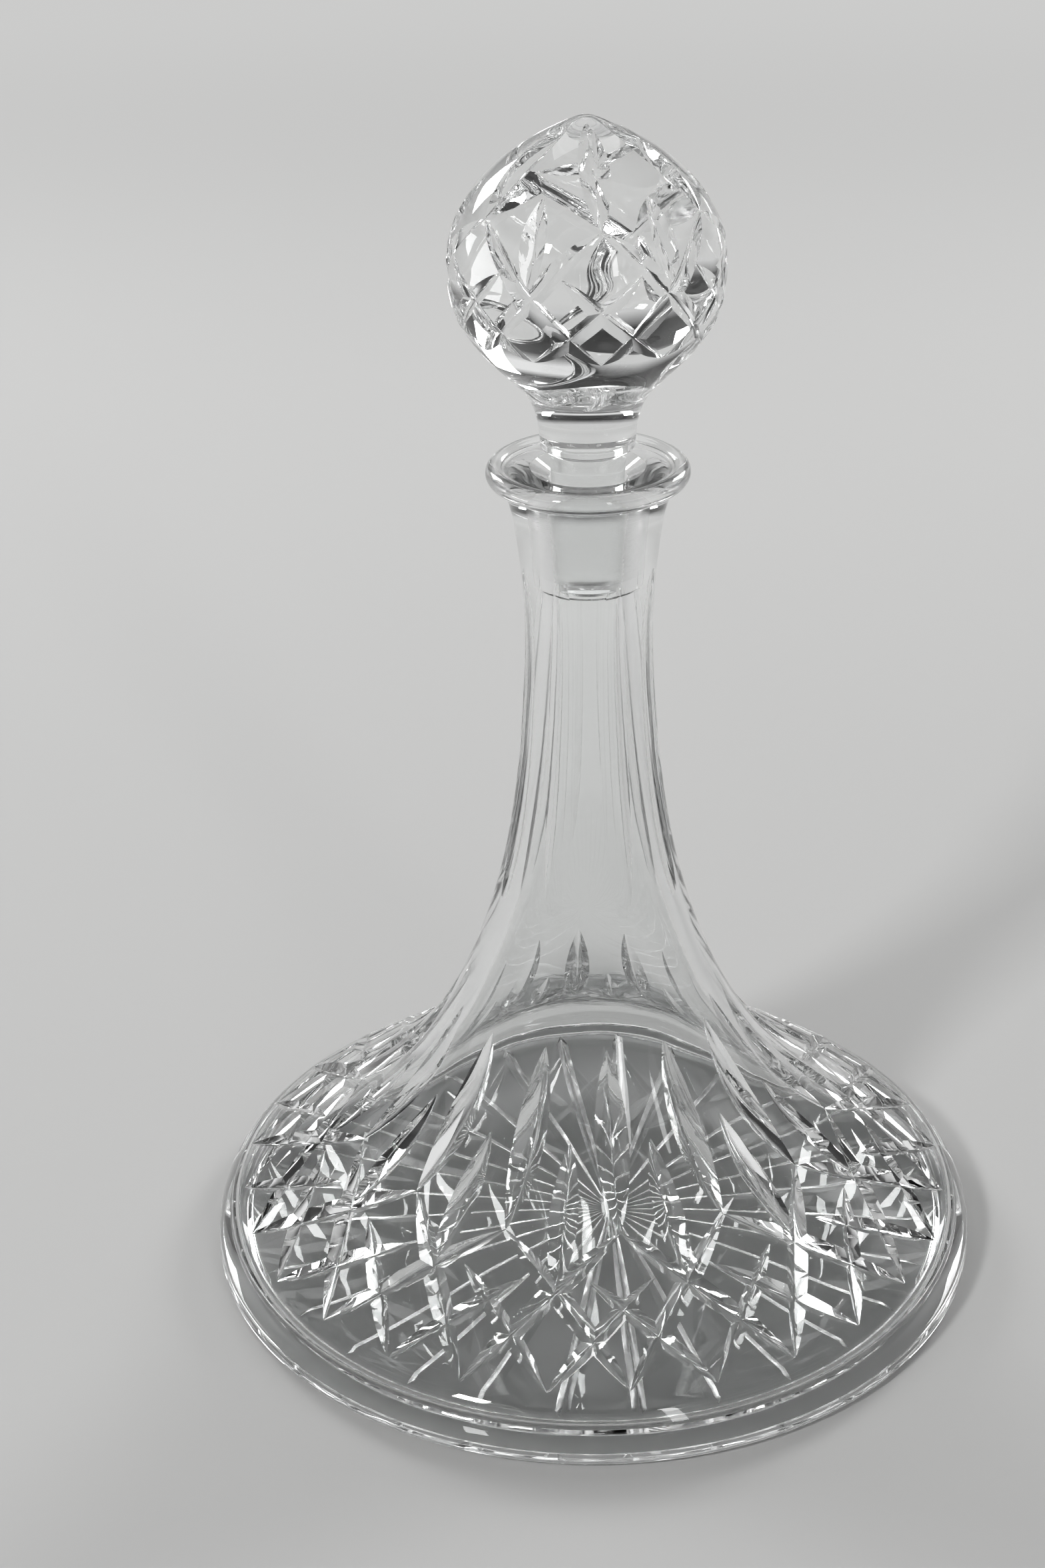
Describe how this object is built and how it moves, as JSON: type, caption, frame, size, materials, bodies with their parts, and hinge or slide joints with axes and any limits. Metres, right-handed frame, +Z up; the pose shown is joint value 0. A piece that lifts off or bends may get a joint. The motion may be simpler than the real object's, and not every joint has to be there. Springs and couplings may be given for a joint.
{
  "type": "decanter",
  "caption": "Wide-based cut-crystal ship's decanter with a tall fluted neck, drip ring and lift-out ball stopper, cut with mitre leaves over a lattice.",
  "frame": {"origin": "middle of the underside of the base", "axes": "+Z up along the axis of the neck and stopper; -Y is the side that the picture shows; +X is to its right"},
  "size_m": [0.186, 0.186, 0.2777],
  "materials": {
    "crystal": "clear polished crystal, with a ground matt plug on the stopper"
  },
  "bodies": {
    "vessel": {"decanter_body": "crystal"},
    "stopper": {"stopper": "crystal"}
  },
  "joints": [
    {"name": "stopper_lift", "type": "slide", "parent": "vessel", "child": "stopper", "axis": [0, 0, 1], "range_m": [0, 0.05]}
  ]
}
